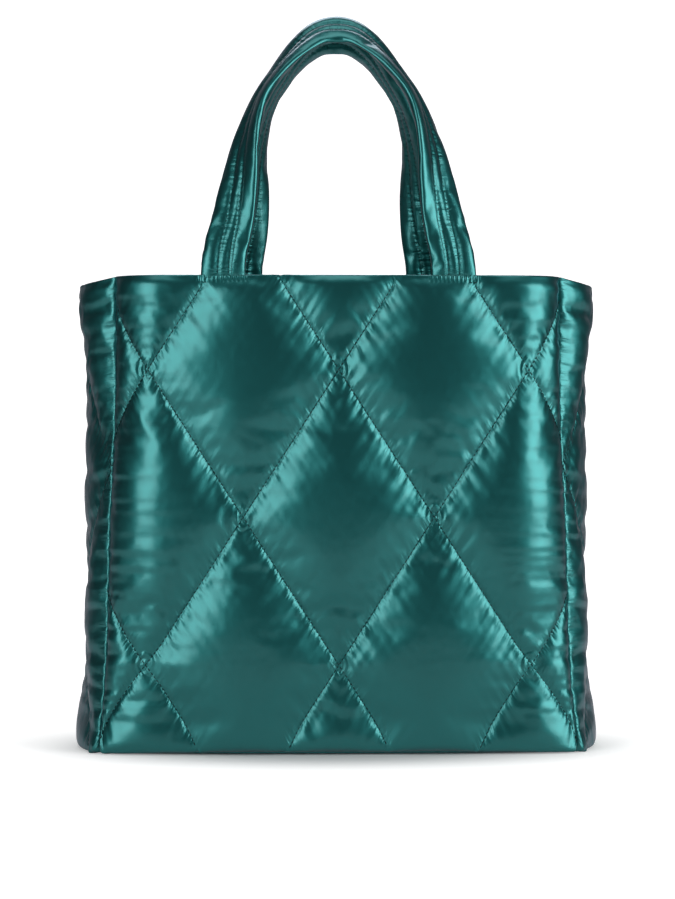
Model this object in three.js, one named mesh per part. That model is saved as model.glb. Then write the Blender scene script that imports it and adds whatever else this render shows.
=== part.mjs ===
import * as THREE from "three";

// A puffer tote bag of padded, diamond-quilted nylon: two large panels, two side gussets,
// a flat padded base and two padded carrying handles that stand up from the rim.
// Millimetres, +Z up. The front panel faces -Y and the origin is on the floor under the centre.

// Body sizes
const bodyHeight = 406; // floor to rim
const panelCloth = 403; // cloth of a large panel, from one side seam to the other
const seamHalfWidth = 200; // centre to a side seam, near the base
const seamHalfDepth = 68; // centre to a side seam, near the base
const faceHalfDepth = 76; // centre to the stitched level of a large panel
const faceCrown = 5; // how far a large panel bows out between its sides
const edgeTurn = 51; // cloth at each side of a large panel that turns back to its seam
const edgeTurnAngle = 70; // degrees that it turns through
const gussetBulge = 26; // how far the gussets stand out past their seams
const gussetRimDrop = 6; // how far a gusset's rim dips between its seams
const baseSeamHeight = 8; // floor to the seam round the base

// Quilting and filling
const diamondWidth = 161.2;
const diamondHeight = 249.4;
const quiltHeight = 200.8; // floor to the crossings each side of the middle
const gussetQuiltLift = diamondHeight / 6; // gusset crossings, above those of the panels
const outerPuff = 9.5; // rise of the filling above the stitching, outside
const innerPuff = 4; // the same inside
const puffRise = 28; // distance from a seam at which the filling is full
const rimRise = 16; // the same below the rim
const stitchedThickness = 3;
const seamThickness = 4;
const hemThickness = 6;
const baseThickness = 13;

// Handles
const handleRise = 216; // rim to the middle of the strap at the top
const frontRootHalfSpan = 98; // centre to the middle of a front strap end
const backRootHalfSpan = 84;
const strapWidth = 39;
const strapThickness = 11.5;
const handleTopDepth = 20.5; // mid-depth of the bag to the middle of the strap at the top
const handlesAlignLean = 0.9; // lean from which one handle stands right behind the other

const seamGap = 0.3; // clearance between neighbouring pieces

// Fineness of the surfaces
const cellsPerHalfDiamond = 6;
const stepsPerPathRow = 2;

// The body's form by height. height is a share of bodyHeight, seamWidth of seamHalfWidth,
// seamDepth of seamHalfDepth, face of faceHalfDepth and bulge of gussetBulge.
const bodyForm = [
  { height: 0.02, seamWidth: 1.015, seamDepth: 1.0, face: 0.93, bulge: 0.54 },
  { height: 0.12, seamWidth: 0.994, seamDepth: 0.94, face: 0.985, bulge: 0.6 },
  { height: 0.22, seamWidth: 0.981, seamDepth: 0.88, face: 1.0, bulge: 0.65 },
  { height: 0.4, seamWidth: 0.973, seamDepth: 0.83, face: 1.01, bulge: 0.66 },
  { height: 0.53, seamWidth: 0.964, seamDepth: 0.8, face: 1.01, bulge: 0.68 },
  { height: 0.69, seamWidth: 0.948, seamDepth: 0.77, face: 1.0, bulge: 0.79 },
  { height: 0.84, seamWidth: 0.944, seamDepth: 0.75, face: 0.985, bulge: 1.0 },
  { height: 0.94, seamWidth: 0.943, seamDepth: 0.74, face: 0.96, bulge: 1.2 },
  { height: 1.0, seamWidth: 0.943, seamDepth: 0.73, face: 0.94, bulge: 1.25 },
];

// A handle from its root to its top. rise is a share of handleRise, span of frontRootHalfSpan, lean
// of the way from the rim to the top's depth, thick of strapThickness. twist is in degrees.
const handlePath = [
  { rise: 0.0, span: 1.0, lean: 0.0, twist: 0, thick: 0.5 },
  { rise: 0.05, span: 0.993, lean: 0.02, twist: 2, thick: 0.92 },
  { rise: 0.12, span: 0.965, lean: 0.08, twist: 10, thick: 1.0 },
  { rise: 0.23, span: 0.908, lean: 0.17, twist: 22, thick: 1.0 },
  { rise: 0.38, span: 0.85, lean: 0.3, twist: 38, thick: 1.0 },
  { rise: 0.5, span: 0.808, lean: 0.42, twist: 54, thick: 1.0 },
  { rise: 0.62, span: 0.742, lean: 0.54, twist: 68, thick: 1.0 },
  { rise: 0.73, span: 0.645, lean: 0.66, twist: 76, thick: 1.0 },
  { rise: 0.84, span: 0.48, lean: 0.79, twist: 74, thick: 1.0 },
  { rise: 0.93, span: 0.312, lean: 0.91, twist: 64, thick: 1.0 },
  { rise: 0.985, span: 0.16, lean: 0.98, twist: 55, thick: 1.0 },
  { rise: 1.0, span: 0.0, lean: 1.0, twist: 50, thick: 1.0 },
];

// One face of the strap's section, edge to edge: two padded channels with a ridge between two
// rows of stitching. across is a share of half the width, height of half the thickness.
const strapFace = [
  { across: 0.93, height: 0.62 },
  { across: 0.6, height: 1.0 },
  { across: 0.22, height: 0.62 },
  { across: 0.0, height: 0.78 },
  { across: -0.22, height: 0.62 },
  { across: -0.6, height: 1.0 },
  { across: -0.93, height: 0.62 },
];

// A smooth reading of one column of a table between its rows.
function readTable(rows, key, column, at) {
  const last = rows.length - 1;
  const place = Math.min(Math.max(at, rows[0][key]), rows[last][key]);
  let row = 0;
  while (row < last - 1 && place > rows[row + 1][key]) row += 1;
  const slope = (a, b) => (rows[b][column] - rows[a][column]) / (rows[b][key] - rows[a][key]);
  const width = rows[row + 1][key] - rows[row][key];
  const t = (place - rows[row][key]) / width;
  const startSlope = slope(Math.max(row - 1, 0), row + 1) * width;
  const endSlope = slope(row, Math.min(row + 2, last)) * width;
  return (
    (2 * t ** 3 - 3 * t ** 2 + 1) * rows[row][column] +
    (t ** 3 - 2 * t ** 2 + t) * startSlope +
    (3 * t ** 2 - 2 * t ** 3) * rows[row + 1][column] +
    (t ** 3 - t ** 2) * endSlope
  );
}

function formAt(column, height) {
  return readTable(bodyForm, "height", column, height / bodyHeight);
}

const seamX = (height) => seamHalfWidth * formAt("seamWidth", height);
const seamY = (height) => seamHalfDepth * formAt("seamDepth", height);

// The stitched level of the front panel: flat in the middle, turning back at both sides.
function frontPoint(across, height) {
  const half = panelCloth / 2;
  const flat = half - edgeTurn;
  const face = faceHalfDepth * formAt("face", height) + faceCrown * (1 - (across / half) ** 2);
  const beyond = Math.max(0, (Math.abs(across) - flat) / edgeTurn);
  const turn = THREE.MathUtils.degToRad(edgeTurnAngle);
  const fall = (1 - Math.cos(beyond * turn)) / (1 - Math.cos(turn));
  const reach = (seamX(height) - flat) * (Math.sin(beyond * turn) / Math.sin(turn));
  const x = beyond > 0 ? Math.sign(across) * (flat + reach) : across;
  return new THREE.Vector3(x, -(face + (seamY(height) - face) * fall), height);
}

// The share of its bulge that a gusset has between its seams, which lie at -1 and 1.
const bulgeShare = (across) => 1 - Math.abs(across) ** 2.6;

// The stitched level of the left gusset, from its back seam at -1 to its front seam at 1.
function leftGussetPoint(across, height) {
  const dip = gussetRimDrop * bulgeShare(across);
  const upShare = (height - baseSeamHeight) / (bodyHeight - baseSeamHeight);
  const out = seamX(height) + gussetBulge * formAt("bulge", height) * bulgeShare(across);
  return new THREE.Vector3(-out, -across * seamY(height), height - dip * upShare);
}

// The seam level of the base, from the back edge at -1 to the front edge at 1.
function basePoint(across, forward) {
  const edge = frontPoint(across, baseSeamHeight);
  const side = seamX(baseSeamHeight);
  const bulge = gussetBulge * formAt("bulge", baseSeamHeight) * bulgeShare(forward);
  return new THREE.Vector3((edge.x * (side + bulge)) / side, forward * edge.y, baseSeamHeight);
}

// The pillow between the lines of a diamond lattice: 0 on a line, 1 in the middle of a diamond.
// Both coordinates count half-diamonds, and lines cross where their sum is even.
function pillow(p, q) {
  const rising = (p + q) / 2 - Math.floor((p + q) / 2);
  const falling = (p - q) / 2 - Math.floor((p - q) / 2);
  return Math.sqrt(16 * rising * (1 - rising) * falling * (1 - falling));
}

// The share of its full height that the filling reaches at a distance from an edge.
const filled = (distance, rise) => Math.sin((Math.PI / 2) * Math.min(1, distance / rise));

// Grid lines on whole shares of the quilting, with both ends kept.
function gridLines(low, high, phase, step) {
  const lines = [low];
  const leastCell = 0.45 * step;
  for (let k = Math.ceil((low - phase) / step); phase + k * step < high - leastCell; k += 1) {
    const place = phase + k * step;
    if (place - low > leastCell) lines.push(place);
  }
  lines.push(high);
  return lines;
}

const columns = gridLines(
  -panelCloth / 2,
  panelCloth / 2,
  0,
  diamondWidth / 2 / cellsPerHalfDiamond,
);
const rows = gridLines(
  baseSeamHeight,
  bodyHeight,
  quiltHeight,
  diamondHeight / 2 / cellsPerHalfDiamond,
);
rows.splice(rows.length - 1, 0, bodyHeight - hemThickness);
const gussetColumns = gridLines(-1, 1, 0, 1 / cellsPerHalfDiamond);

// A closed pad between an outer and an inner grid of points, both indexed [row][column], with the
// outer face on the side of column direction x row direction. splitRising says which way to cut
// each cell.
function padGeometry(outer, inner, splitRising) {
  const rowCount = outer.length;
  const columnCount = outer[0].length;
  const positions = [];
  for (const grid of [outer, inner]) {
    for (const row of grid) row.forEach((point) => positions.push(point.x, point.y, point.z));
  }
  const at = (face, i, j) => (face * rowCount + j) * columnCount + i;
  const index = [];
  for (let j = 0; j < rowCount - 1; j += 1) {
    for (let i = 0; i < columnCount - 1; i += 1) {
      const corners = [[i, j], [i + 1, j], [i + 1, j + 1], [i, j + 1]];
      const order = splitRising(i, j) ? [0, 1, 2, 0, 2, 3] : [1, 2, 3, 1, 3, 0];
      index.push(...order.map((k) => at(0, ...corners[k])));
      index.push(...order.reverse().map((k) => at(1, ...corners[k])));
    }
  }
  const edge = [];
  for (let i = 0; i < columnCount - 1; i += 1) edge.push([i, 0]);
  for (let j = 0; j < rowCount - 1; j += 1) edge.push([columnCount - 1, j]);
  for (let i = columnCount - 1; i > 0; i -= 1) edge.push([i, rowCount - 1]);
  for (let j = rowCount - 1; j > 0; j -= 1) edge.push([0, j]);
  edge.forEach((start, k) => {
    const end = edge[(k + 1) % edge.length];
    index.push(at(0, ...end), at(0, ...start), at(1, ...start));
    index.push(at(0, ...end), at(1, ...start), at(1, ...end));
  });
  const geometry = new THREE.BufferGeometry();
  geometry.setAttribute("position", new THREE.Float32BufferAttribute(positions, 3));
  geometry.setIndex(index);
  geometry.computeVertexNormals();
  return geometry;
}

// A side panel of the bag: its stitched level, thickened both ways along the surface's own
// direction, and at a seam along the direction that it shares with its neighbour. piece gives
// middle(i, j), thickness(i, j), sideways (the way its columns run) and outward.
function sidePad(piece) {
  const count = { i: piece.columns.length, j: rows.length };
  const middle = rows.map((_, j) => piece.columns.map((_, i) => piece.middle(i, j)));
  const outer = [];
  const inner = [];
  for (let j = 0; j < count.j; j += 1) {
    outer.push([]);
    inner.push([]);
    for (let i = 0; i < count.i; i += 1) {
      const sideSeam = i === 0 ? -1 : i === count.i - 1 ? 1 : 0;
      const baseSeam = j === 0 ? 1 : 0;
      const isRim = j === count.j - 1;
      const rightward = middle[j][Math.min(i + 1, count.i - 1)].clone();
      rightward.sub(middle[j][Math.max(i - 1, 0)]);
      const upward = middle[Math.min(j + 1, count.j - 1)][i].clone();
      upward.sub(middle[Math.max(j - 1, 0)][i]);
      const direction = rightward.cross(upward);
      const shift = new THREE.Vector3();
      if (sideSeam || baseSeam) {
        direction.copy(piece.outward);
        direction.addScaledVector(piece.sideways, sideSeam);
        direction.z -= baseSeam;
        shift.addScaledVector(piece.outward, Math.abs(sideSeam) + baseSeam);
        shift.addScaledVector(piece.sideways, -sideSeam);
        shift.z += baseSeam;
        shift.multiplyScalar(seamGap / 2 / Math.SQRT2);
      }
      if (isRim) direction.z = 0;
      direction.normalize();
      const point = middle[j][i].clone().add(shift);
      const thickness = piece.thickness(i, j, sideSeam || baseSeam, isRim);
      outer[j].push(point.clone().addScaledVector(direction, thickness.out));
      inner[j].push(point.clone().addScaledVector(direction, -thickness.in));
    }
  }
  return padGeometry(outer, inner, piece.splitRising);
}

// Thickness either side of the stitched level, from the pillow and the edges near by.
function padThickness(relief, seamDistance, height, onSeam, isRim) {
  const edge = onSeam ? seamThickness / 2 : isRim ? hemThickness / 2 : stitchedThickness / 2;
  if (onSeam || isRim) return { out: edge, in: edge };
  const fill =
    filled(seamDistance, puffRise) *
    filled(height - baseSeamHeight, puffRise) *
    filled(bodyHeight - height, rimRise);
  return { out: edge + outerPuff * relief * fill, in: edge + innerPuff * relief * fill };
}

function largePanel() {
  const p = (across) => across / (diamondWidth / 2);
  const q = (height) => (height - quiltHeight) / (diamondHeight / 2) + 1;
  const cellMiddle = (lines, k) => (lines[k] + lines[k + 1]) / 2;
  return sidePad({
    columns,
    outward: new THREE.Vector3(0, -1, 0),
    sideways: new THREE.Vector3(1, 0, 0),
    middle: (i, j) => frontPoint(columns[i], rows[j]),
    thickness: (i, j, onSeam, isRim) => {
      const relief = pillow(p(columns[i]), q(rows[j]));
      const seamDistance = panelCloth / 2 - Math.abs(columns[i]);
      return padThickness(relief, seamDistance, rows[j], onSeam, isRim);
    },
    splitRising: (i, j) => {
      const square = Math.floor(p(cellMiddle(columns, i))) + Math.floor(q(cellMiddle(rows, j)));
      return square % 2 === 0;
    },
  });
}

function gusset() {
  const q = (height) => (height - quiltHeight - gussetQuiltLift) / (diamondHeight / 2) + 1;
  const cellMiddle = (lines, k) => (lines[k] + lines[k + 1]) / 2;
  return sidePad({
    columns: gussetColumns,
    outward: new THREE.Vector3(-1, 0, 0),
    sideways: new THREE.Vector3(0, -1, 0),
    middle: (i, j) => leftGussetPoint(gussetColumns[i], rows[j]),
    thickness: (i, j, onSeam, isRim) => {
      const relief = pillow(gussetColumns[i], q(rows[j]));
      const seamDistance = (1 - Math.abs(gussetColumns[i])) * seamY(rows[j]);
      return padThickness(relief, seamDistance, rows[j], onSeam, isRim);
    },
    splitRising: (i, j) => {
      const square =
        Math.floor(cellMiddle(gussetColumns, i)) + Math.floor(q(cellMiddle(rows, j)));
      return square % 2 === 0;
    },
  });
}

// The base: pressed flat on the floor, its edge rolling up to the seam round it.
function base() {
  const outer = [];
  const inner = [];
  const lastRow = gussetColumns.length - 1;
  const lastColumn = columns.length - 1;
  for (let j = 0; j <= lastRow; j += 1) {
    outer.push([]);
    inner.push([]);
    for (let i = 0; i <= lastColumn; i += 1) {
      const sideSeam = i === 0 ? -1 : i === lastColumn ? 1 : 0;
      const longSeam = j === 0 ? 1 : j === lastRow ? -1 : 0;
      const point = basePoint(columns[i], gussetColumns[j]);
      const under = point.clone();
      const above = point.clone();
      if (sideSeam || longSeam) {
        const direction = new THREE.Vector3(sideSeam, longSeam, -1).normalize();
        const shift = new THREE.Vector3(-sideSeam, -longSeam, 0);
        shift.z = -Math.abs(sideSeam) - Math.abs(longSeam);
        shift.multiplyScalar(seamGap / 2 / Math.SQRT2);
        under.add(shift).addScaledVector(direction, seamThickness / 2);
        above.add(shift).addScaledVector(direction, -seamThickness / 2);
      } else {
        under.z = 0;
        above.z = baseThickness;
      }
      outer[j].push(under);
      inner[j].push(above);
    }
  }
  return padGeometry(outer, inner, () => true);
}

// A front handle: the strap's section carried up one leg, over the top and down the other.
function handle(rootHalfSpan) {
  const rootDepth = frontPoint(rootHalfSpan, bodyHeight).y;
  const inset = (lean) =>
    (frontRootHalfSpan - rootHalfSpan) * Math.max(0, 1 - lean / handlesAlignLean);
  const leg = handlePath.map((row) => ({
    ...row,
    point: new THREE.Vector3(
      inset(row.lean) - frontRootHalfSpan * row.span,
      rootDepth + (-handleTopDepth - rootDepth) * row.lean,
      bodyHeight + seamGap + handleRise * row.rise,
    ),
  }));
  const otherLeg = leg.slice(0, -1).reverse();
  const whole = leg.concat(
    otherLeg.map((row) => ({ ...row, point: row.point.clone().multiply({ x: -1, y: 1, z: 1 }) })),
  );
  const curve = new THREE.CatmullRomCurve3(whole.map((row) => row.point), false, "centripetal");
  const stepCount = (whole.length - 1) * stepsPerPathRow;
  const back = new THREE.Vector3(0, 1, 0);
  const section = [
    { across: 1, height: 0 },
    ...strapFace,
    { across: -1, height: 0 },
    ...strapFace.map((corner) => ({ across: -corner.across, height: -corner.height })),
  ];
  const positions = [];
  for (let step = 0; step <= stepCount; step += 1) {
    const share = step / stepCount;
    const row = Math.min(Math.floor(step / stepsPerPathRow), whole.length - 2);
    const between = step / stepsPerPathRow - row;
    const mix = (column) =>
      whole[row][column] + (whole[row + 1][column] - whole[row][column]) * between;
    const tangent = curve.getTangent(share);
    if (step === 0) tangent.set(0, 0, 1);
    if (step === stepCount) tangent.set(0, 0, -1);
    const twist = THREE.MathUtils.degToRad(mix("twist"));
    const outward = tangent.clone().cross(back).normalize();
    const facing = tangent.clone().cross(outward);
    const acrossWay = outward.clone().multiplyScalar(Math.cos(twist));
    acrossWay.addScaledVector(facing, -Math.sin(twist));
    const faceWay = facing.clone().multiplyScalar(Math.cos(twist));
    faceWay.addScaledVector(outward, Math.sin(twist));
    const middle = curve.getPoint(share);
    for (const corner of section) {
      const point = middle.clone();
      point.addScaledVector(acrossWay, (corner.across * strapWidth) / 2);
      point.addScaledVector(faceWay, (corner.height * strapThickness * mix("thick")) / 2);
      positions.push(point.x, point.y, point.z);
    }
  }
  const sides = section.length;
  const index = [];
  for (let step = 0; step < stepCount; step += 1) {
    for (let k = 0; k < sides; k += 1) {
      const here = step * sides + k;
      const next = step * sides + ((k + 1) % sides);
      index.push(here, next, next + sides, here, next + sides, here + sides);
    }
  }
  for (let k = 1; k < sides - 1; k += 1) {
    const last = stepCount * sides;
    index.push(0, k + 1, k, last, last + k, last + k + 1);
  }
  const geometry = new THREE.BufferGeometry();
  geometry.setAttribute("position", new THREE.Float32BufferAttribute(positions, 3));
  geometry.setIndex(index);
  geometry.computeVertexNormals();
  return geometry;
}

const shellCloth = { color: 0x1f6e68, roughness: 0.36, metalness: 0.6 };
const gussetCloth = { color: 0x1c625f, roughness: 0.38, metalness: 0.6 };
const baseCloth = { color: 0x174f4e, roughness: 0.42, metalness: 0.55 };
const strapCloth = { color: 0x1b6862, roughness: 0.36, metalness: 0.6 };

const group = new THREE.Group();

function addPiece(name, geometry, finish, halfTurn) {
  const mesh = new THREE.Mesh(geometry, new THREE.MeshStandardMaterial(finish));
  mesh.name = name;
  mesh.rotation.z = halfTurn ? Math.PI : 0;
  group.add(mesh);
}

addPiece("front_panel", largePanel(), shellCloth, false);
addPiece("back_panel", largePanel(), shellCloth, true);
addPiece("left_gusset", gusset(), gussetCloth, false);
addPiece("right_gusset", gusset(), gussetCloth, true);
addPiece("bottom_panel", base(), baseCloth, false);
addPiece("front_handle", handle(frontRootHalfSpan), strapCloth, false);
addPiece("back_handle", handle(backRootHalfSpan), strapCloth, true);

export default group;
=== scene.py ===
import math

import bmesh
import bpy
import numpy as np
from mathutils import Matrix, Vector, noise


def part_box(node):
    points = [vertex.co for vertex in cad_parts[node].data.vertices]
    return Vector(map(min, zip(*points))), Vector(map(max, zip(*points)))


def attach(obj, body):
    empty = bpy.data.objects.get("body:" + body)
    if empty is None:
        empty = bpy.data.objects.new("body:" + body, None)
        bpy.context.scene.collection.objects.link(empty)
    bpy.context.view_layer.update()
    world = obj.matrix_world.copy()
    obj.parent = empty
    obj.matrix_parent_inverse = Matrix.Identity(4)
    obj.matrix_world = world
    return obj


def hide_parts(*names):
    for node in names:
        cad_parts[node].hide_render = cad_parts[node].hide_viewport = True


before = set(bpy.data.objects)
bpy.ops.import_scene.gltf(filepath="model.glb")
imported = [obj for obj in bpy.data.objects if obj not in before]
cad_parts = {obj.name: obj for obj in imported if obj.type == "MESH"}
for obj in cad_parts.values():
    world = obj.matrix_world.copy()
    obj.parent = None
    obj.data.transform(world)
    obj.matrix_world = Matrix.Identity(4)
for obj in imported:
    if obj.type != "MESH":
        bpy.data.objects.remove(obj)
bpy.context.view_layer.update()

# Camera, floor and lights
# The bag is seen level, from a little left of its middle, on a pale sweep that curves up behind it.
# The paper glows white to the camera, less so close round the bag: a painted shadow round its foot.
# A tall soft box stands at each side, with dimmer ones above and behind, and the front stays darker.
front_face_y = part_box("front_panel")[0].y
camera_distance = 2.2
camera_height = 0.258
camera_azimuth = math.radians(1.5)
camera_aim_x = 0.001
camera = bpy.data.objects.new("camera", bpy.data.cameras.new("camera"))
camera.data.lens = 104.9
camera.data.sensor_width = 36.0
camera_reach = camera_distance - front_face_y
camera.location = (
    camera_aim_x - camera_reach * math.sin(camera_azimuth),
    -camera_reach * math.cos(camera_azimuth),
    camera_height,
)
camera.rotation_euler = (math.pi / 2, 0.0, -camera_azimuth)
bpy.context.collection.objects.link(camera)
bpy.context.scene.camera = camera
bpy.context.scene.view_settings.view_transform = "Standard"

sweep_half_width = 6.0
sweep_front = -6.0
sweep_bend_start = 1.6
sweep_bend_radius = 1.2
sweep_top = 4.0
shade_oval = (4.2, 6.2, 1.0)
shade_start = 0.55
shade_end = 1.3
glow_end = 5.0
lamp_distance = 2.0
lamp_target_height = 0.28
bm = bmesh.new()
sweep_line = [bm.verts.new((-sweep_half_width, sweep_front, 0.0))]
for step in range(17):
    angle = step / 16 * math.pi / 2
    along = sweep_bend_start + sweep_bend_radius * math.sin(angle)
    up = sweep_bend_radius * (1.0 - math.cos(angle))
    sweep_line.append(bm.verts.new((-sweep_half_width, along, up)))
sweep_line.append(
    bm.verts.new((-sweep_half_width, sweep_bend_start + sweep_bend_radius, sweep_top))
)
sweep_edges = [bm.edges.new(pair) for pair in zip(sweep_line, sweep_line[1:])]
swept = bmesh.ops.extrude_edge_only(bm, edges=sweep_edges)
bmesh.ops.translate(
    bm,
    verts=[v for v in swept["geom"] if isinstance(v, bmesh.types.BMVert)],
    vec=(2 * sweep_half_width, 0.0, 0.0),
)
sweep_mesh = bpy.data.meshes.new("sweep")
bm.to_mesh(sweep_mesh)
bm.free()
for polygon in sweep_mesh.polygons:
    polygon.use_smooth = True
sweep = bpy.data.objects.new("sweep", sweep_mesh)
bpy.context.collection.objects.link(sweep)
sweep_paper = bpy.data.materials.new("sweep_paper")
sweep_paper.use_nodes = True
paper_shader = sweep_paper.node_tree.nodes["Principled BSDF"]
paper_shader.inputs["Base Color"].default_value = (0.8, 0.8, 0.8, 1.0)
paper_shader.inputs["Roughness"].default_value = 0.9
paper_shader.inputs["Emission Color"].default_value = (1.0, 1.0, 1.0, 1.0)
paper_path = sweep_paper.node_tree.nodes.new("ShaderNodeLightPath")
paper_glow = sweep_paper.node_tree.nodes.new("ShaderNodeMapRange")
paper_glow.inputs["To Min"].default_value = 0.03
paper_place = sweep_paper.node_tree.nodes.new("ShaderNodeTexCoord")
paper_oval = sweep_paper.node_tree.nodes.new("ShaderNodeVectorMath")
paper_oval.operation = "MULTIPLY"
paper_oval.inputs[1].default_value = shade_oval
paper_reach = sweep_paper.node_tree.nodes.new("ShaderNodeVectorMath")
paper_reach.operation = "LENGTH"
# Painted shadow: the paper's glow is dimmed in an oval round the bag's foot, where a contact shadow
# would fall.
paper_painted_shadow = sweep_paper.node_tree.nodes.new("ShaderNodeMapRange")
paper_painted_shadow.interpolation_type = "SMOOTHSTEP"
paper_painted_shadow.inputs["From Min"].default_value = shade_start
paper_painted_shadow.inputs["From Max"].default_value = shade_end
paper_painted_shadow.inputs["To Max"].default_value = 0.72
paper_far = sweep_paper.node_tree.nodes.new("ShaderNodeMapRange")
paper_far.inputs["From Min"].default_value = shade_end
paper_far.inputs["From Max"].default_value = glow_end
paper_far.inputs["To Max"].default_value = 0.32
paper_sum = sweep_paper.node_tree.nodes.new("ShaderNodeMath")
for start, end in (
    (paper_place.outputs["Object"], paper_oval.inputs[0]),
    (paper_oval.outputs["Vector"], paper_reach.inputs[0]),
    (paper_reach.outputs["Value"], paper_painted_shadow.inputs["Value"]),
    (paper_reach.outputs["Value"], paper_far.inputs["Value"]),
    (paper_painted_shadow.outputs["Result"], paper_sum.inputs[0]),
    (paper_far.outputs["Result"], paper_sum.inputs[1]),
    (paper_sum.outputs["Value"], paper_glow.inputs["To Max"]),
    (paper_path.outputs["Is Camera Ray"], paper_glow.inputs["Value"]),
):
    sweep_paper.node_tree.links.new(start, end)
sweep_paper.node_tree.links.new(
    paper_glow.outputs["Result"], paper_shader.inputs["Emission Strength"]
)
sweep_mesh.materials.append(sweep_paper)


def soft_box(name, azimuth, elevation, width, height, power):
    """A lamp at lamp_distance from the bag's middle, facing it. Azimuth 0 is in front."""
    target = Vector((0.0, 0.0, lamp_target_height))
    turn = math.radians(azimuth)
    up = math.radians(elevation)
    way = Vector((math.sin(turn) * math.cos(up), -math.cos(turn) * math.cos(up), math.sin(up)))
    lamp = bpy.data.objects.new(name, bpy.data.lights.new(name, "AREA"))
    lamp.data.shape = "RECTANGLE"
    lamp.data.size = width
    lamp.data.size_y = height
    lamp.data.energy = power
    lamp.location = target + lamp_distance * way
    lamp.rotation_euler = (-way).to_track_quat("-Z", "Y").to_euler()
    bpy.context.collection.objects.link(lamp)


soft_box("left_box", -38, 16, 0.9, 1.6, 12.2)
soft_box("right_box", 55, 17, 1.1, 1.7, 20.0)
soft_box("top_box", 0, 80, 1.6, 0.8, 6.0)
soft_box("back_box", 180, 50, 1.4, 0.9, 9.0)

world = bpy.data.worlds.new("studio")
bpy.context.scene.world = world
world.use_nodes = True
world_light = world.node_tree.nodes["Background"]
world_light.inputs["Color"].default_value = (0.9, 0.92, 1.0, 1.0)
world_light.inputs["Strength"].default_value = 0.055


# Shell cloth and its quilting
# Two layers of thin metallic nylon with loose wadding between, stitched through in diamonds.
# The pattern and the bag's form by height are the maker's: every panel is cut to them.
body_height = 0.406
panel_cloth = 0.403
seam_half_width = 0.200
seam_half_depth = 0.068
face_half_depth = 0.076
face_crown = 0.005
edge_turn = 0.051
edge_turn_angle = math.radians(70)
gusset_bulge = 0.026
gusset_rim_drop = 0.006
base_seam_height = 0.008
diamond_width = 0.1612
diamond_height = 0.2494
quilt_height = 0.2008
seam_gap = 0.00004
stitched_thickness = 0.003
seam_thickness = 0.004
seam_edge_out = 0.0005
hem_thickness = 0.006
floor_touch = 0.001
foot_width_share = 0.97
foot_depth_share = 0.98
foot_height = 0.0018
foot_roll = 0.013
body_form_height = [0.02, 0.12, 0.22, 0.4, 0.53, 0.69, 0.84, 0.94, 1.0]
body_form = {
    "seam_width": [1.015, 0.994, 0.981, 0.973, 0.964, 0.948, 0.944, 0.943, 0.943],
    "seam_depth": [1.0, 0.94, 0.88, 0.83, 0.8, 0.77, 0.75, 0.74, 0.73],
    "face": [0.93, 0.985, 1.0, 1.01, 1.01, 1.0, 0.985, 0.96, 0.94],
    "bulge": [0.54, 0.6, 0.65, 0.66, 0.68, 0.79, 1.0, 1.2, 1.25],
}


def read_smoothly(places, values, at):
    at = min(max(at, places[0]), places[-1])
    last = len(places) - 1
    row = 0
    while row < last - 1 and at > places[row + 1]:
        row += 1

    def slope(a, b):
        return (values[b] - values[a]) / (places[b] - places[a])

    width = places[row + 1] - places[row]
    t = (at - places[row]) / width
    start_slope = slope(max(row - 1, 0), row + 1) * width
    end_slope = slope(row, min(row + 2, last)) * width
    return (
        (2 * t**3 - 3 * t**2 + 1) * values[row]
        + (t**3 - 2 * t**2 + t) * start_slope
        + (3 * t**2 - 2 * t**3) * values[row + 1]
        + (t**3 - t**2) * end_slope
    )


def form_at(column, height):
    return read_smoothly(body_form_height, body_form[column], height / body_height)


def seam_x(height):
    return seam_half_width * form_at("seam_width", height)


def seam_y(height):
    return seam_half_depth * form_at("seam_depth", height)


def front_point(across, height):
    half = panel_cloth / 2
    flat = half - edge_turn
    crown = face_crown * (1 - (across / half) ** 2)
    face = face_half_depth * form_at("face", height) + crown
    beyond = max(0.0, (abs(across) - flat) / edge_turn)
    fall = (1 - math.cos(beyond * edge_turn_angle)) / (1 - math.cos(edge_turn_angle))
    reach = (seam_x(height) - flat) * math.sin(beyond * edge_turn_angle) / math.sin(edge_turn_angle)
    x = math.copysign(flat + reach, across) if beyond > 0 else across
    return Vector((x, -(face + (seam_y(height) - face) * fall), height))


cells = 44
coarse = 4
column_step = diamond_width / 2 / cells
row_step = diamond_height / 2 / cells
on_thread = 0.25 / cells
low_row = math.floor((base_seam_height - quilt_height) / row_step / coarse) * coarse
high_row = math.ceil((body_height - quilt_height) / row_step / coarse) * coarse
panel_rows = high_row - low_row
rng = np.random.default_rng(7)


def row_height(j):
    height = quilt_height + (low_row + j) * row_step
    return min(max(height, base_seam_height), body_height)


def link_piece(name, mesh):
    piece = bpy.data.objects.new(name, mesh)
    bpy.context.collection.objects.link(piece)
    return piece


def surface_direction(point_at, across, height, across_step):
    step = 0.001
    along = point_at(across + across_step, height) - point_at(across - across_step, height)
    up = point_at(across, height + step) - point_at(across, height - step)
    return along.cross(up).normalized()


def filled(distance, rise):
    return math.sin(math.pi / 2 * min(1.0, max(0.0, distance) / rise))


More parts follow.
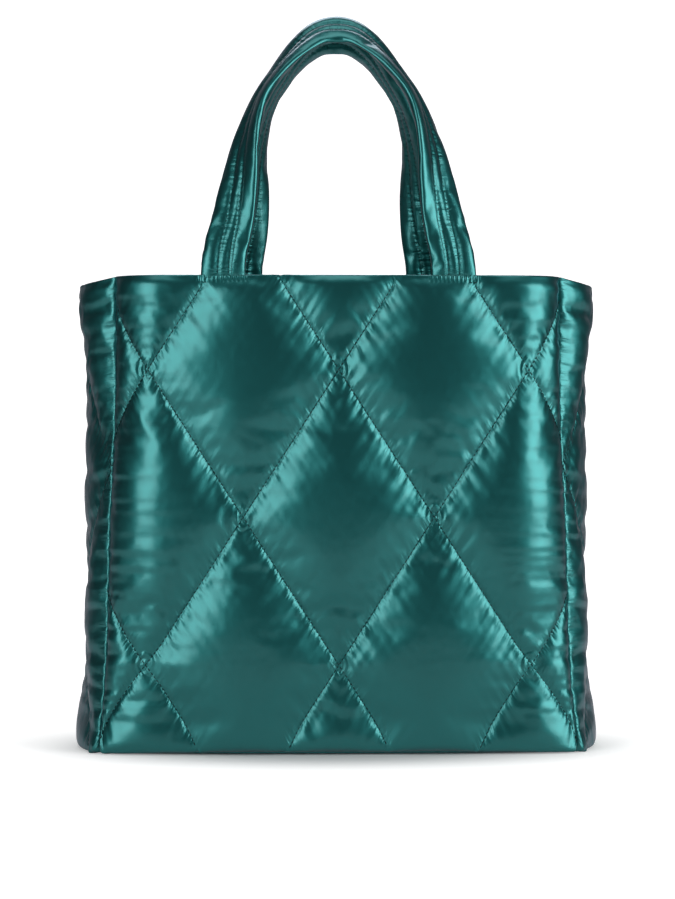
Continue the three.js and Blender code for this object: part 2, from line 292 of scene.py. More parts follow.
def blow_up(piece, frames, pressure, loose_even, loose_edges, bending):
    """Fills a sewn pad: the cloth swells between its stitches, and what it holds too much of
    gathers into folds."""
    cloth = piece.modifiers.new("filling", "CLOTH")
    settings = cloth.settings
    settings.quality = 6
    settings.mass = 0.15
    settings.tension_stiffness = 25.0
    settings.compression_stiffness = 25.0
    settings.shear_stiffness = 12.0
    settings.bending_stiffness = bending
    settings.tension_damping = 8.0
    settings.compression_damping = 8.0
    settings.shear_damping = 8.0
    settings.air_damping = 6.0
    settings.use_pressure = True
    settings.uniform_pressure_force = pressure
    settings.vertex_group_mass = "sewn"
    settings.vertex_group_shrink = "loose"
    settings.shrink_min = -loose_even
    settings.shrink_max = -loose_edges
    settings.effector_weights.gravity = 0.0
    cloth.collision_settings.use_collision = False
    cloth.collision_settings.use_self_collision = False
    cloth.point_cache.frame_start = 1
    cloth.point_cache.frame_end = frames
    scene = bpy.context.scene
    for number in range(1, frames + 1):
        scene.frame_set(number)
    view = bpy.context.evaluated_depsgraph_get()
    settled = bpy.data.meshes.new_from_object(piece.evaluated_get(view))
    scene.frame_set(1)
    return settled


def sewn_cloth(name, columns, rows, flat_of, place, is_sewn, looseness):
    """A sheet of cloth laid on the pad's form, ready to be filled. Its flat place on the pattern
    is kept in the attribute cloth, and a sheet that meets itself becomes a tube."""
    bm = bmesh.new()
    bmesh.ops.create_grid(bm, x_segments=columns, y_segments=rows, size=1.0)
    pattern = bm.verts.layers.float_vector.new("cloth")
    crease = bm.edges.layers.float.new("crease_edge")
    for v in bm.verts:
        flat = flat_of(round((v.co.x + 1) / 2 * columns), round((v.co.y + 1) / 2 * rows))
        v[pattern] = (flat[0], flat[1], 0.0)
        v.co = place(*flat)
    bmesh.ops.remove_doubles(bm, verts=list(bm.verts), dist=0.00002)
    held = {v for v in bm.verts if is_sewn(v[pattern].x, v[pattern].y)}
    for face in list(bm.faces):
        corners = list(face.verts)
        stitched = [k for k in range(len(corners)) if corners[k] in held]
        if len(corners) == 4 and stitched in ([0, 2], [1, 3]):
            made = bmesh.ops.connect_verts(bm, verts=[corners[k] for k in stitched])
            for edge in made["edges"]:
                edge[crease] = 0.9
    bm.verts.index_update()
    weights = [(v in held, looseness(v[pattern].x, v[pattern].y)) for v in bm.verts]
    mesh = bpy.data.meshes.new(name)
    bm.to_mesh(mesh)
    bm.free()
    piece = link_piece(name, mesh)
    sewn = piece.vertex_groups.new(name="sewn")
    loose = piece.vertex_groups.new(name="loose")
    for index, (is_held, looseness_here) in enumerate(weights):
        if is_held:
            sewn.add([index], 1.0, "REPLACE")
        loose.add([index], looseness_here, "REPLACE")
    return piece


def soften(mesh, is_sewn, passes):
    """Rounds the small folds, as the wadding does, with the stitches left where they are. The
    floor flattens what would hang below it."""
    bm = bmesh.new()
    bm.from_mesh(mesh)
    pattern = bm.verts.layers.float_vector["cloth"]
    free = [v for v in bm.verts if not is_sewn(v[pattern].x, v[pattern].y)]
    for _ in range(passes):
        bmesh.ops.smooth_vert(
            bm, verts=free, factor=0.5, use_axis_x=True, use_axis_y=True, use_axis_z=True
        )
    for v in free:
        v.co.z = max(v.co.z, floor_touch)
    bm.to_mesh(mesh)
    bm.free()


def close_pad(mesh, columns, rows, flat_of, inner_place):
    """Gives the outer cloth its edge and its plainer inner cloth, so that the pad is closed."""
    bm = bmesh.new()
    bm.from_mesh(mesh)
    pattern = bm.verts.layers.float_vector["cloth"]
    rim = [edge for edge in bm.edges if edge.is_boundary]
    wall = bmesh.ops.extrude_edge_only(bm, edges=rim)
    for v in wall["geom"]:
        if isinstance(v, bmesh.types.BMVert):
            v.co = inner_place(v[pattern].x, v[pattern].y)
    made = bmesh.ops.create_grid(
        bm, x_segments=columns // coarse, y_segments=rows // coarse, size=1.0
    )
    lining = made["verts"]
    for v in lining:
        v.co.x = round((v.co.x + 1) / 2 * columns)
        v.co.y = round((v.co.y + 1) / 2 * rows)
    faces = list(dict.fromkeys(face for v in lining for face in v.link_faces))
    lining_edges = dict.fromkeys(edge for v in lining for edge in v.link_edges)
    lining_rim = [edge for edge in lining_edges if edge.is_boundary]
    bmesh.ops.bisect_edges(bm, edges=lining_rim, cuts=coarse - 1)
    for v in dict.fromkeys(v for face in faces for v in face.verts):
        flat = flat_of(round(v.co.x), round(v.co.y))
        v[pattern] = (flat[0], flat[1], -1.0)
        v.co = inner_place(*flat)
    bmesh.ops.reverse_faces(bm, faces=faces)
    bmesh.ops.remove_doubles(bm, verts=list(bm.verts), dist=0.00002)
    bm.to_mesh(mesh)
    bm.free()
    for polygon in mesh.polygons:
        polygon.use_smooth = True


def seam_step(outward, sideways, at_side, at_foot):
    """The way that a seam's edge faces, and the small step that keeps it off its neighbour."""
    faces = outward + sideways * at_side + Vector((0.0, 0.0, -1.0)) * at_foot
    step = outward * (abs(at_side) + at_foot) - sideways * at_side
    step += Vector((0.0, 0.0, 1.0)) * at_foot
    return faces.normalized(), step * (seam_gap / 2 / math.sqrt(2))


def at_foot_seam(point):
    """Where the seam round the base lies: tucked in under the puffs, just off the floor, and
    lowest at the corners, which carry the bag."""
    to_corner = min(1.0, abs(point.x) / seam_half_width)
    low = foot_height * (1 - 0.6 * to_corner**4)
    return Vector((point.x * foot_width_share, point.y * foot_depth_share, low))


def rolled_foot(height):
    """How far the cloth just above the base hangs out over its seam."""
    return 0.0045 * math.exp(-(((height - base_seam_height) / foot_roll) ** 2))


def seam_folds(height, to_seam):
    """Uneven folds across a side seam, which the front and the gusset share, from -1 to 1."""
    folds = noise.noise(Vector((height / 0.0085, to_seam / 0.05, 2.0)))
    folds += 0.6 * noise.noise(Vector((height / 0.0043, to_seam / 0.03, 7.0)))
    patch = 0.65 + 0.7 * noise.noise(Vector((height / 0.03, 0.0, 4.0)))
    return 1.6 * folds * patch


def near_lines(p, q):
    """Distances from the nearest rising and falling stitch line, as shares of the spacing."""
    rising = (p + q) / 2
    falling = (p - q) / 2
    return abs(rising - round(rising)), abs(falling - round(falling))


def pillow(p, q):
    """How full a diamond is at a place: 0 on its stitches, 1 in its middle."""
    rising, falling = near_lines(p, q)
    return 4 * math.sqrt(rising * (1 - rising) * falling * (1 - falling))


crossing_spacing = math.hypot(diamond_width, diamond_height) / 2
line_spacing = diamond_width * diamond_height / 2 / crossing_spacing


def beside_lines(p, q):
    """For rising and falling stitch lines: how far off the nearest is, the run along it and its
    number."""
    rising = (p + q) / 2
    falling = (p - q) / 2
    places = []
    for line, along in ((rising, falling), (falling, rising)):
        off = abs(line - round(line)) * line_spacing
        places.append((off, along * crossing_spacing, round(line)))
    return places


def gathers(lines, wave_length, reach):
    """Uneven folds that stand across each line and die away beside it."""
    total = 0.0
    for off, run, number in lines:
        if off < 4 * reach:
            place = Vector((1.9 * run / wave_length, off / (4 * reach), 3.7 * number + 0.4))
            fade = math.exp(-off / reach) * min(1.0, off / 0.0012)
            total += 1.8 * noise.noise(place) * fade
    return total


def crossing_fold(p, q):
    """A small curved fold on one side of each crossing, where the cloth is caught twice."""
    rising = (p + q) / 2
    falling = (p - q) / 2
    off_rising = (rising - round(rising)) * line_spacing
    off_falling = (falling - round(falling)) * line_spacing
    ring = math.hypot(off_rising, off_falling)
    if ring > 0.02:
        return 0.0
    turned = math.atan2(off_falling, off_rising) + 2.1 * round(rising) + 1.3 * round(falling)
    one_side = 0.5 + 0.5 * math.sin(turned)
    return one_side * math.sin(ring * 1150) * math.exp(-(((ring - 0.006) / 0.0045) ** 2))


def finish_pad(name, mesh, lines_at, rise_at):
    """Makes the fine surface of a pad. The places of its stitch lines and seams are kept in
    attributes, which the cloth's material reads for its finest gathers."""
    rough = link_piece(name + "_rough", mesh)
    fine = rough.modifiers.new("fine", "SUBSURF")
    fine.levels = 1
    fine.render_levels = 1
    view = bpy.context.evaluated_depsgraph_get()
    finished = bpy.data.meshes.new_from_object(rough.evaluated_get(view))
    bpy.data.objects.remove(rough)
    count = len(finished.vertices)
    places = np.empty(count * 3)
    normals = np.empty(count * 3)
    pattern = np.empty(count * 3)
    finished.vertices.foreach_get("co", places)
    finished.vertices.foreach_get("normal", normals)
    finished.attributes["cloth"].data.foreach_get("vector", pattern)
    lines = np.zeros((3, count, 3))
    lines[:, :, 0] = 1.0
    lift = np.zeros(count)
    for index, (across, height, side) in enumerate(pattern.reshape(-1, 3).tolist()):
        if side > -0.01:
            here = lines_at(across, height)
            lines[: len(here), index] = here
            lift[index] = rise_at(across, height, here)
    places += normals * np.repeat(lift, 3)
    finished.vertices.foreach_set("co", places)
    for number, attribute in enumerate(("rising", "falling", "seam")):
        layer = finished.attributes.new(attribute, "FLOAT_VECTOR", "POINT")
        layer.data.foreach_set("vector", lines[number].ravel())
    finished.name = name
    for polygon in finished.polygons:
        polygon.use_smooth = True
    return link_piece(name, finished)


def turned_copy(piece, name):
    """The same piece for the other side of the bag, turned half round."""
    bm = bmesh.new()
    bm.from_mesh(piece.data)
    bmesh.ops.rotate(bm, verts=list(bm.verts), matrix=Matrix.Rotation(math.pi, 3, "Z"))
    mesh = bpy.data.meshes.new(name)
    bm.to_mesh(mesh)
    bm.free()
    for material in piece.data.materials:
        mesh.materials.append(material)
    return link_piece(name, mesh)


def stand_for(piece, node):
    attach(piece, "root")
    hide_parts(node)


gather_group = bpy.data.node_groups.new("gathers_beside_a_line", "ShaderNodeTree")
gather_group.interface.new_socket("Height", in_out="OUTPUT", socket_type="NodeSocketFloat")
gather_group.interface.new_socket("Place", in_out="INPUT", socket_type="NodeSocketVector")
group_in = gather_group.nodes.new("NodeGroupInput")
group_out = gather_group.nodes.new("NodeGroupOutput")
split = gather_group.nodes.new("ShaderNodeSeparateXYZ")
gather_group.links.new(group_in.outputs["Place"], split.inputs["Vector"])
stretch = gather_group.nodes.new("ShaderNodeVectorMath")
stretch.operation = "MULTIPLY"
stretch.inputs[1].default_value = (60.0, 400.0, 3.7)
gather_group.links.new(group_in.outputs["Place"], stretch.inputs[0])
folds = gather_group.nodes.new("ShaderNodeTexNoise")
folds.inputs["Scale"].default_value = 1.0
folds.inputs["Detail"].default_value = 2.0
gather_group.links.new(stretch.outputs["Vector"], folds.inputs["Vector"])
crisp = gather_group.nodes.new("ShaderNodeMapRange")
crisp.interpolation_type = "SMOOTHSTEP"
crisp.inputs["From Min"].default_value = 0.3
crisp.inputs["From Max"].default_value = 0.66
gather_group.links.new(folds.outputs["Fac"], crisp.inputs["Value"])
patches = gather_group.nodes.new("ShaderNodeVectorMath")
patches.operation = "MULTIPLY"
patches.inputs[1].default_value = (0.0, 90.0, 5.1)
gather_group.links.new(group_in.outputs["Place"], patches.inputs[0])
lengths = gather_group.nodes.new("ShaderNodeTexNoise")
lengths.inputs["Scale"].default_value = 1.0
gather_group.links.new(patches.outputs["Vector"], lengths.inputs["Vector"])
reach = gather_group.nodes.new("ShaderNodeMapRange")
reach.inputs["From Min"].default_value = 0.3
reach.inputs["From Max"].default_value = 0.75
reach.inputs["To Min"].default_value = 0.002
reach.inputs["To Max"].default_value = 0.014
gather_group.links.new(lengths.outputs["Fac"], reach.inputs["Value"])
fade = gather_group.nodes.new("ShaderNodeMapRange")
fade.interpolation_type = "SMOOTHSTEP"
fade.inputs["To Min"].default_value = 1.0
fade.inputs["To Max"].default_value = 0.0
gather_group.links.new(split.outputs["X"], fade.inputs["Value"])
gather_group.links.new(reach.outputs["Result"], fade.inputs["From Max"])
faded = gather_group.nodes.new("ShaderNodeMath")
faded.operation = "MULTIPLY"
gather_group.links.new(crisp.outputs["Result"], faded.inputs[0])
gather_group.links.new(fade.outputs["Result"], faded.inputs[1])
gather_group.links.new(faded.outputs["Value"], group_out.inputs["Height"])

nylon = bpy.data.materials.new("teal_nylon")
nylon.use_nodes = True
nylon_nodes = nylon.node_tree.nodes
nylon_links = nylon.node_tree.links
nylon_shader = nylon_nodes["Principled BSDF"]
nylon_shader.inputs["Base Color"].default_value = (0.02, 0.22, 0.218, 1.0)
nylon_shader.inputs["Metallic"].default_value = 1.0
nylon_shader.inputs["Roughness"].default_value = 0.37
nylon_shader.inputs["Specular Tint"].default_value = (0.8, 0.65, 0.85, 1.0)
nylon_shader.inputs["Coat Weight"].default_value = 0.8
nylon_shader.inputs["Coat Roughness"].default_value = 0.23
nylon_shader.inputs["Coat IOR"].default_value = 1.5
height_so_far = None
for attribute in ("rising", "falling", "seam"):
    place = nylon_nodes.new("ShaderNodeAttribute")
    place.attribute_name = attribute
    gathered = nylon_nodes.new("ShaderNodeGroup")
    gathered.node_tree = gather_group
    nylon_links.new(place.outputs["Vector"], gathered.inputs["Place"])
    summed = nylon_nodes.new("ShaderNodeMath")
    nylon_links.new(gathered.outputs["Height"], summed.inputs[0])
    summed.inputs[1].default_value = 0.0
    if height_so_far:
        nylon_links.new(height_so_far, summed.inputs[1])
    height_so_far = summed.outputs["Value"]
gather_bump = nylon_nodes.new("ShaderNodeBump")
gather_bump.inputs["Strength"].default_value = 0.6
gather_bump.inputs["Distance"].default_value = 0.0004
nylon_links.new(height_so_far, gather_bump.inputs["Height"])
nylon_links.new(gather_bump.outputs["Normal"], nylon_shader.inputs["Normal"])
nylon_links.new(gather_bump.outputs["Normal"], nylon_shader.inputs["Coat Normal"])


# Front and back panels
# Large padded panels of nylon and wadding, quilted in diamonds. Their sides turn back to the
# gusset seams, the foot is sewn to the base and the top edge is turned in as a hem.
front_columns = coarse * round(panel_cloth / column_step / coarse)
front_outward = Vector((0.0, -1.0, 0.0))
front_sideways = Vector((1.0, 0.0, 0.0))
start_puff = 0.007
strap_root = 0.098
strap_width = 0.039
band_depth = 0.0078
band_row = row_height(round((body_height - band_depth - quilt_height) / row_step) - low_row)


def front_flat(i, j):
    return (i - front_columns / 2) * (panel_cloth / front_columns), row_height(j)


def front_p(across):
    return across / (diamond_width / 2)


def front_q(height):
    return (height - quilt_height) / (diamond_height / 2) + 1


def front_edges(across, height):
    side = 0
    if abs(across) > panel_cloth / 2 - 0.3 * column_step:
        side = 1 if across > 0 else -1
    foot = 1 if height < base_seam_height + 0.00001 else 0
    rim = 1 if height > body_height - 0.00001 else 0
    return side, foot, rim


def front_sewn(across, height):
    in_band = abs(abs(across) - strap_root) < strap_width / 2 + 0.001
    if in_band and abs(height - band_row) < 0.4 * row_step:
        return True
    on_line = min(near_lines(front_p(across), front_q(height))) < on_thread
    return on_line or any(front_edges(across, height))


def front_surface(across, height, lift):
    side, foot, rim = front_edges(across, height)
    point = front_point(across, height)
    if side or foot:
        faces, step = seam_step(front_outward, front_sideways, side, foot)
        if foot:
            point = at_foot_seam(point)
        return point + step + faces * (seam_edge_out if lift > 0 else seam_edge_out - seam_thickness)
    faces = surface_direction(front_point, across, height, 0.001)
    if rim:
        faces.z = 0.0
        return point + faces.normalized() * math.copysign(hem_thickness / 2, lift)
    roll = rolled_foot(height)
    to_corner = abs(across) / (panel_cloth / 2)
    point.z -= roll * (1.2 + 1.4 * to_corner**4)
    return point + faces * (lift + roll if lift > 0 else lift)


def front_fill(across, height, rise):
    fill = filled(panel_cloth / 2 - abs(across), rise) * filled(height - base_seam_height, rise)
    return fill * filled(body_height - height, 0.6 * rise)


def front_outer(across, height):
    fill = front_fill(across, height, 0.02)
    lift = stitched_thickness / 2 + start_puff * pillow(front_p(across), front_q(height)) * fill
    if front_sewn(across, height):
        if height > band_row - row_step:
            lift = max(lift, 0.0025)
        return front_surface(across, height, lift)
    lift += rng.normal(0.0, 0.0001)
    lift += 0.0006 * gathers(beside_lines(front_p(across), front_q(height)), 0.012, 0.009)
    to_side = panel_cloth / 2 - abs(across)
    folds = seam_folds(height, to_side)
    lift += 0.0018 * folds * math.exp(-to_side / 0.034) * filled(to_side, 0.006)
    return front_surface(across, height, lift)


def front_inner(across, height):
    relief = pillow(front_p(across), front_q(height)) * front_fill(across, height, 0.028)
    return front_surface(across, height, -(stitched_thickness / 2 + 0.004 * relief))


def front_looseness(across, height):
    side = panel_cloth / 2 - abs(across)
    beside_line = min(near_lines(front_p(across), front_q(height))) * line_spacing
    return min(1.0, max(0.0, 1.0 - side / 0.045) + 0.3 * math.exp(-beside_line / 0.012))


front_cloth = sewn_cloth(
    "front_cloth", front_columns, panel_rows, front_flat, front_outer, front_sewn, front_looseness
)
front_mesh = blow_up(
    front_cloth, frames=22, pressure=8.0, loose_even=0.009, loose_edges=0.04, bending=1.6
)
bpy.data.objects.remove(front_cloth)
soften(front_mesh, front_sewn, 3)
close_pad(front_mesh, front_columns, panel_rows, front_flat, front_inner)
front_mesh.materials.append(nylon)


def front_lines(across, height):
    to_side = panel_cloth / 2 - abs(across)
    side = (to_side, height, math.copysign(5.0, across))
    return [*beside_lines(front_p(across), front_q(height)), side]


def front_rise(across, height, lines):
    in_band = abs(abs(across) - strap_root) < strap_width / 2 + 0.002
    if in_band and band_row + 0.0005 < height < body_height - 0.0005:
        return 0.0004 * math.sin(across * 2 * math.pi / 0.0037)
    rise = 0.00035 * gathers(lines, 0.006, 0.005) + 0.0003 * gathers(lines[:2], 0.013, 0.02)
    rise += 0.0006 * gathers(lines[2:], 0.012, 0.034)
    return rise + 0.0005 * crossing_fold(front_p(across), front_q(height))


front_panel = finish_pad("front_panel_pad", front_mesh, front_lines, front_rise)
back_panel = turned_copy(front_panel, "back_panel_pad")
stand_for(front_panel, "front_panel")
stand_for(back_panel, "back_panel")


# Gussets
# Padded side panels that bulge out between their seams, quilted in one tall diamond each. They are
# cut long for their seams, so they crumple along them.
gusset_columns = 2 * cells
gusset_lift = diamond_height / 6
gusset_outward = Vector((-1.0, 0.0, 0.0))
gusset_sideways = Vector((0.0, -1.0, 0.0))


def bulge_share(across):
    return 1 - abs(across) ** 2.6


def gusset_point(across, height):
    bulge = gusset_bulge * form_at("bulge", height) * bulge_share(across)
    dip = gusset_rim_drop * bulge_share(across)
    up_share = (height - base_seam_height) / (body_height - base_seam_height)
    return Vector((
        -(seam_x(height) + bulge), -across * seam_y(height), height - dip * up_share
    ))


def gusset_flat(i, j):
    return i / cells - 1, row_height(j)


def gusset_q(height):
    return (height - quilt_height - gusset_lift) / (diamond_height / 2) + 1


def gusset_edges(across, height):
    side = 0
    if abs(across) > 1 - 0.3 / cells:
        side = 1 if across > 0 else -1
    foot = 1 if height < base_seam_height + 0.00001 else 0
    rim = 1 if height > body_height - 0.00001 else 0
    return side, foot, rim


def gusset_sewn(across, height):
    on_line = min(near_lines(across, gusset_q(height))) < on_thread
    return on_line or any(gusset_edges(across, height))


def gusset_surface(across, height, lift):
    side, foot, rim = gusset_edges(across, height)
    point = gusset_point(across, height)
    if side or foot:
        faces, step = seam_step(gusset_outward, gusset_sideways, side, foot)
        if foot:
            point = at_foot_seam(point)
        return point + step + faces * (seam_edge_out if lift > 0 else seam_edge_out - seam_thickness)
    faces = surface_direction(gusset_point, across, height, 0.01)
    if rim:
        faces.z = 0.0
        return point + faces.normalized() * math.copysign(hem_thickness / 2, lift)
    roll = rolled_foot(height)
    point.z -= 2.2 * roll
    return point + faces * (lift + roll if lift > 0 else lift)


def gusset_fill(across, height, rise):
    fill = filled((1 - abs(across)) * seam_y(height), rise)
    return fill * filled(height - base_seam_height, rise) * filled(body_height - height, 0.6 * rise)


def gusset_outer(across, height):
    relief = pillow(across, gusset_q(height)) * gusset_fill(across, height, 0.02)
    lift = stitched_thickness / 2 + 0.006 * relief
    if gusset_sewn(across, height):
        return gusset_surface(across, height, lift)
    lift += rng.normal(0.0, 0.0001)
    lift += 0.0005 * gathers(beside_lines(across, gusset_q(height)), 0.012, 0.009)
    to_seam = (1 - abs(across)) * seam_y(height)
    folds = seam_folds(height, to_seam)
    lift += 0.002 * folds * math.exp(-to_seam / 0.018) * filled(to_seam, 0.006)
    return gusset_surface(across, height, lift)


def gusset_inner(across, height):
    relief = pillow(across, gusset_q(height)) * gusset_fill(across, height, 0.028)
    return gusset_surface(across, height, -(stitched_thickness / 2 + 0.004 * relief))


def gusset_looseness(across, height):
    return max(0.0, 1.0 - (1 - abs(across)) / 0.5)


gusset_cloth = sewn_cloth(
    "gusset_cloth", gusset_columns, panel_rows, gusset_flat, gusset_outer, gusset_sewn,
    gusset_looseness,
)
gusset_mesh = blow_up(
    gusset_cloth, frames=20, pressure=7.0, loose_even=0.016, loose_edges=0.055, bending=1.4
)
bpy.data.objects.remove(gusset_cloth)
soften(gusset_mesh, gusset_sewn, 2)
close_pad(gusset_mesh, gusset_columns, panel_rows, gusset_flat, gusset_inner)
gusset_mesh.materials.append(nylon)


def gusset_lines(across, height):
    to_seam = (1 - abs(across)) * seam_y(height)
    return [*beside_lines(across, gusset_q(height)), (to_seam, height, math.copysign(6.0, across))]


def gusset_rise(across, height, lines):
    return 0.0004 * gathers(lines, 0.007, 0.006) + 0.0003 * gathers(lines, 0.014, 0.02)


left_gusset = finish_pad("left_gusset_pad", gusset_mesh, gusset_lines, gusset_rise)
right_gusset = turned_copy(left_gusset, "right_gusset_pad")
stand_for(left_gusset, "left_gusset")
stand_for(right_gusset, "right_gusset")


# Base
# A padded nylon panel, pressed flat by the bag's weight. Its edge rolls up to the seam round it.
base_columns = 96
base_rows = 48
base_roll = 0.006
base_thickness = 0.013


def base_edges(across, forward):
    side = 0 if abs(across) < 0.9999 else math.copysign(1, across)
    long_side = 0 if abs(forward) < 0.9999 else math.copysign(1, forward)
    return side, long_side


def base_place(across, forward, under):
    edge = at_foot_seam(front_point(across * panel_cloth / 2, base_seam_height))
    side_x = seam_x(base_seam_height) * foot_width_share
    bulge = gusset_bulge * form_at("bulge", base_seam_height) * bulge_share(forward)
    point = Vector((edge.x * (side_x + bulge) / side_x, -forward * edge.y, edge.z))
    side, long_side = base_edges(across, forward)
    if side or long_side:
        faces = Vector((side, long_side, -1.0)).normalized()
        step = Vector((-side, -long_side, -abs(side) - abs(long_side)))
        point += step * (seam_gap / 2 / math.sqrt(2))
        return point + faces * (seam_edge_out if under else seam_edge_out - seam_thickness)
    to_edge = min((1 - abs(across)) * side_x, (1 - abs(forward)) * abs(edge.y))
    rolled = max(0.0, 1 - to_edge / base_roll)
    if under:
        point.z = edge.z * 0.9 * (1 - math.sqrt(1 - rolled**2))
    else:
        point.z = edge.z + (base_thickness - edge.z) * math.sqrt(1 - rolled**2)
    return point


def base_flat(i, j):
    across = 2 * i / base_columns - 1
    forward = 1 - 2 * j / base_rows
    return (
        math.copysign(1 - (1 - abs(across)) ** 1.8, across),
        math.copysign(1 - (1 - abs(forward)) ** 1.5, forward),
    )


base_cloth = sewn_cloth(
    "base_cloth", base_columns, base_rows, base_flat,
    lambda a, f: base_place(a, f, True), lambda a, f: False, lambda a, f: 0.0,
)
base_mesh = base_cloth.data
close_pad(base_mesh, base_columns, base_rows, base_flat, lambda a, f: base_place(a, f, False))
bpy.data.objects.remove(base_cloth)
base_mesh.materials.append(nylon)
base_panel = link_piece("bottom_panel_pad", base_mesh)
stand_for(base_panel, "bottom_panel")


# Handles
# Padded nylon straps, each stitched lengthways in two rows that leave a channel of filling at
# either side and a ridge between. They are sewn into the hem and lean together at the top.
handle_rise = 0.216
handle_top_depth = 0.0205
back_strap_root = 0.084
straps_align_lean = 0.9
strap_thickness = 0.0115
strap_gather_run = 0.56
strap_around = 26
strap_rows = 240
root_depth = 0.004
stitch_column = 11
handle_path = {
    "rise": [0.0, 0.05, 0.12, 0.23, 0.38, 0.5, 0.62, 0.73, 0.84, 0.93, 0.985, 1.0],
    "span": [1.0, 0.993, 0.965, 0.908, 0.85, 0.808, 0.742, 0.645, 0.48, 0.312, 0.16, 0.0],
    "lean": [0.0, 0.02, 0.08, 0.17, 0.3, 0.42, 0.54, 0.66, 0.79, 0.91, 0.98, 1.0],
    "twist": [0, 2, 10, 22, 38, 54, 68, 76, 74, 64, 55, 50],
    "thick": [0.5, 0.92, 1.0, 1.0, 1.0, 1.0, 1.0, 1.0, 1.0, 1.0, 1.0, 1.0],
}
path_rows = len(handle_path["rise"])
whole_path = {name: values + values[-2::-1] for name, values in handle_path.items()}
whole_path["span"] = [-v for v in handle_path["span"]] + handle_path["span"][-2::-1]
path_places = list(range(2 * path_rows - 1))


def path_at(column, share):
    return read_smoothly(path_places, whole_path[column], share * path_places[-1])


def strap_middle(root, share):
    """A place on a strap's middle line. The back strap starts nearer the bag's middle and comes to
    stand right behind the front one."""
    rim_y = front_point(root, body_height).y
    rise = handle_rise * path_at("rise", share)
    sunk = root_depth * max(0.0, 1 - rise / 0.02)
    inset = (strap_root - root) * max(0.0, 1 - path_at("lean", share) / straps_align_lean)
    return Vector((
        strap_root * path_at("span", share) + math.copysign(inset, 0.5 - share),
        rim_y + (-handle_top_depth - rim_y) * path_at("lean", share),
        body_height + rise - sunk,
    ))


def strap_frame(root, share):
    """The strap's middle, the way across it and the way that its front faces."""
    step = 0.002
    start = max(0.0, share - step)
    end = min(1.0, share + step)
    tangent = (strap_middle(root, end) - strap_middle(root, start)).normalized()
    upright = filled(min(share, 1 - share), 0.03)
    standing = Vector((0.0, 0.0, 1.0 if share < 0.5 else -1.0))
    tangent = (tangent * upright + standing * (1 - upright)).normalized()
    outward = tangent.cross(Vector((0.0, 1.0, 0.0))).normalized()
    facing = tangent.cross(outward)
    twist = math.radians(path_at("twist", share))
    across_way = outward * math.cos(twist) - facing * math.sin(twist)
    face_way = facing * math.cos(twist) + outward * math.sin(twist)
    return strap_middle(root, share), across_way, face_way


def strap_section(k):
    angle = math.pi * k / strap_around
    across = math.cos(angle)
    side = abs(across)
    groove = 0.42 * math.exp(-(((side - 0.24) / 0.09) ** 2)) + 0.12 * math.exp(-((side / 0.1) ** 2))
    return across, math.copysign(abs(math.sin(angle)) ** 0.75, math.sin(angle)) * (1 - groove)


def strap_flat(i, j):
    return i % (2 * strap_around), j / strap_rows


def strap_sewn(k, share):
    column = round(k) % strap_around
    at_end = min(share, 1 - share) < 0.5 / strap_rows
    return at_end or column in (stitch_column, strap_around - stitch_column)


def strap_looseness(k, share):
    inner_side = max(0.0, -math.cos(math.pi * k / strap_around))
    near_top = math.exp(-(((share - 0.5) / 0.12) ** 2))
    near_root = math.exp(-((min(share, 1 - share) / 0.03) ** 2))
    return min(1.0, inner_side * near_top + near_root)


def make_handle(name, root):
    frames = [strap_frame(root, j / strap_rows) for j in range(strap_rows + 1)]

    def place(k, share):
        middle, across_way, face_way = frames[round(share * strap_rows)]
        across, height = strap_section(k)
        thick = strap_thickness / 2 * min(1.0, path_at("thick", share)) * 0.9
        if not strap_sewn(k, share):
            height += rng.normal(0.0, 0.005)
        return middle + across_way * (across * strap_width / 2 * 0.97) + face_way * (height * thick)

    cloth = sewn_cloth(
        name + "_cloth", 2 * strap_around, strap_rows, strap_flat, place, strap_sewn,
        strap_looseness,
    )
    mesh = blow_up(
        cloth, frames=12, pressure=6.0, loose_even=0.009, loose_edges=0.05, bending=1.6
    )
    bpy.data.objects.remove(cloth)
    soften(mesh, strap_sewn, 3)
    bm = bmesh.new()
    bm.from_mesh(mesh)
    bmesh.ops.holes_fill(bm, edges=[edge for edge in bm.edges if edge.is_boundary])
    bmesh.ops.recalc_face_normals(bm, faces=list(bm.faces))
    bm.to_mesh(mesh)
    bm.free()
    mesh.materials.append(nylon)

    def lines_at(k, share):
        off = abs(abs(math.cos(math.pi * k / strap_around)) - 0.24) * strap_width / 2
        return [(off, share * strap_gather_run, round(k / stitch_column))]

    def rise_at(k, share, lines):
        return 0.0003 * gathers(lines, 0.007, 0.004)

    return finish_pad(name, mesh, lines_at, rise_at)


front_handle = make_handle("front_handle_strap", strap_root)
back_handle_facing = make_handle("back_handle_facing", back_strap_root)
back_handle = turned_copy(back_handle_facing, "back_handle_strap")
bpy.data.objects.remove(back_handle_facing)
stand_for(front_handle, "front_handle")
stand_for(back_handle, "back_handle")


# Stitching
# Dark teal thread in stitches of about 4 mm, along every quilting line of the large panels and
# gussets, along the bands below the straps and along the straps themselves.
stitch_length = 0.0034
stitch_pitch = 0.0041
thread_radius = 0.00042
thread = bpy.data.materials.new("dark_thread")
thread.use_nodes = True
thread_shader = thread.node_tree.nodes["Principled BSDF"]
thread_shader.inputs["Base Color"].default_value = (0.006, 0.035, 0.036, 1.0)
thread_shader.inputs["Roughness"].default_value = 0.6
thread_shader.inputs["Specular IOR Level"].default_value = 0.15


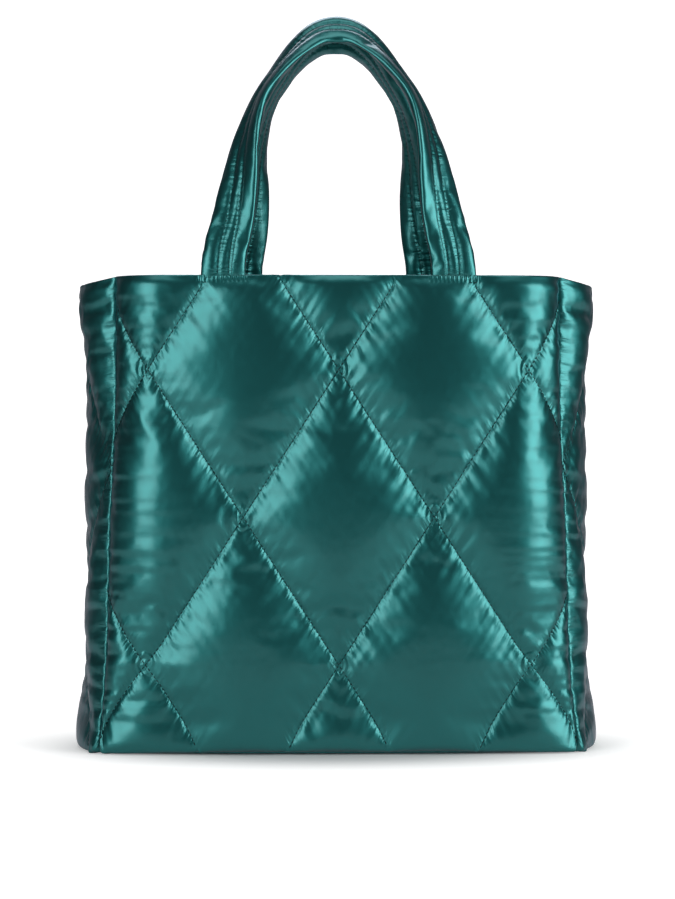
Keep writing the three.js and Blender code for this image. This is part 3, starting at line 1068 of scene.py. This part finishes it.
def sew_row(places):
    """Stitches laid end to end along a row of points."""
    bm = bmesh.new()
    carried = 0.0
    for start, end in zip(places, places[1:]):
        length = (end - start).length
        way = (end - start).normalized()
        while carried < length:
            middle = start + way * carried
            turn = way.to_track_quat("X", "Z").to_matrix().to_4x4()
            size = Matrix.Diagonal((stitch_length / 2, thread_radius, thread_radius, 1.0))
            bmesh.ops.create_uvsphere(
                bm, u_segments=6, v_segments=4, radius=1.0,
                matrix=Matrix.Translation(middle) @ turn @ size,
            )
            carried += stitch_pitch
        carried -= length
    row = bpy.data.meshes.new("row")
    bm.to_mesh(row)
    bm.free()
    return row


def lattice_rows(place, p_low, p_high, q_low, q_high):
    """Every stitch line of a diamond lattice, as rows of points inside a rectangle of it."""
    rows = []
    fineness = 60
    for slope in (1, -1):
        for line in range(-8, 9, 2):
            row = []
            for k in range(round((p_high - p_low) * fineness) + 1):
                p = p_low + k / fineness
                q = line + slope * p
                if q_low < q < q_high:
                    row.append(place(p, q))
            if len(row) > 2:
                rows.append(row)
    return rows


def sew_piece(name, rows):
    bm = bmesh.new()
    for places in rows:
        row = sew_row(places)
        bm.from_mesh(row)
        bpy.data.meshes.remove(row)
    mesh = bpy.data.meshes.new(name)
    bm.to_mesh(mesh)
    bm.free()
    for polygon in mesh.polygons:
        polygon.use_smooth = True
    mesh.materials.append(thread)
    return link_piece(name, mesh)


def on_front(p, q):
    height = (q - 1) * diamond_height / 2 + quilt_height
    return front_surface(p * diamond_width / 2, height, stitched_thickness / 2 + 0.0002)


def on_gusset(p, q):
    height = (q - 1) * diamond_height / 2 + quilt_height + gusset_lift
    return gusset_surface(p, height, stitched_thickness / 2 + 0.0002)


front_half = panel_cloth / diamond_width - 0.01
front_rows_sewn = lattice_rows(
    on_front, -front_half, front_half,
    front_q(base_seam_height + 0.003), front_q(body_height - 0.004),
)
for side in (-1, 1):
    band = []
    for k in range(21):
        across = side * strap_root + (k / 20 - 0.5) * strap_width
        band.append(front_surface(across, band_row, 0.0027))
    front_rows_sewn.append(band)
gusset_rows_sewn = lattice_rows(
    on_gusset, -0.99, 0.99, gusset_q(base_seam_height + 0.003), gusset_q(body_height - 0.004)
)


def strap_rows_sewn(root):
    rows = []
    for k in (stitch_column, strap_around - stitch_column):
        for face in (0, 1):
            row = []
            for j in range(2, strap_rows - 1):
                middle, across_way, face_way = strap_frame(root, j / strap_rows)
                across, height = strap_section(k + face * strap_around)
                thick = strap_thickness / 2 * min(1.0, path_at("thick", j / strap_rows)) * 0.9
                out = height * thick + math.copysign(0.0002, height)
                row.append(middle + across_way * (across * strap_width / 2 * 0.97) + face_way * out)
            rows.append(row)
    return rows


front_thread = sew_piece("front_panel_thread", front_rows_sewn)
gusset_thread = sew_piece("left_gusset_thread", gusset_rows_sewn)
handle_thread = sew_piece("front_handle_thread", strap_rows_sewn(strap_root))
back_strap_thread = sew_piece("back_strap_thread_facing", strap_rows_sewn(back_strap_root))
sewn_pieces = [
    front_thread,
    gusset_thread,
    handle_thread,
    turned_copy(front_thread, "back_panel_thread"),
    turned_copy(gusset_thread, "right_gusset_thread"),
    turned_copy(back_strap_thread, "back_handle_thread"),
]
bpy.data.objects.remove(back_strap_thread)
for piece in sewn_pieces:
    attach(piece, "root")
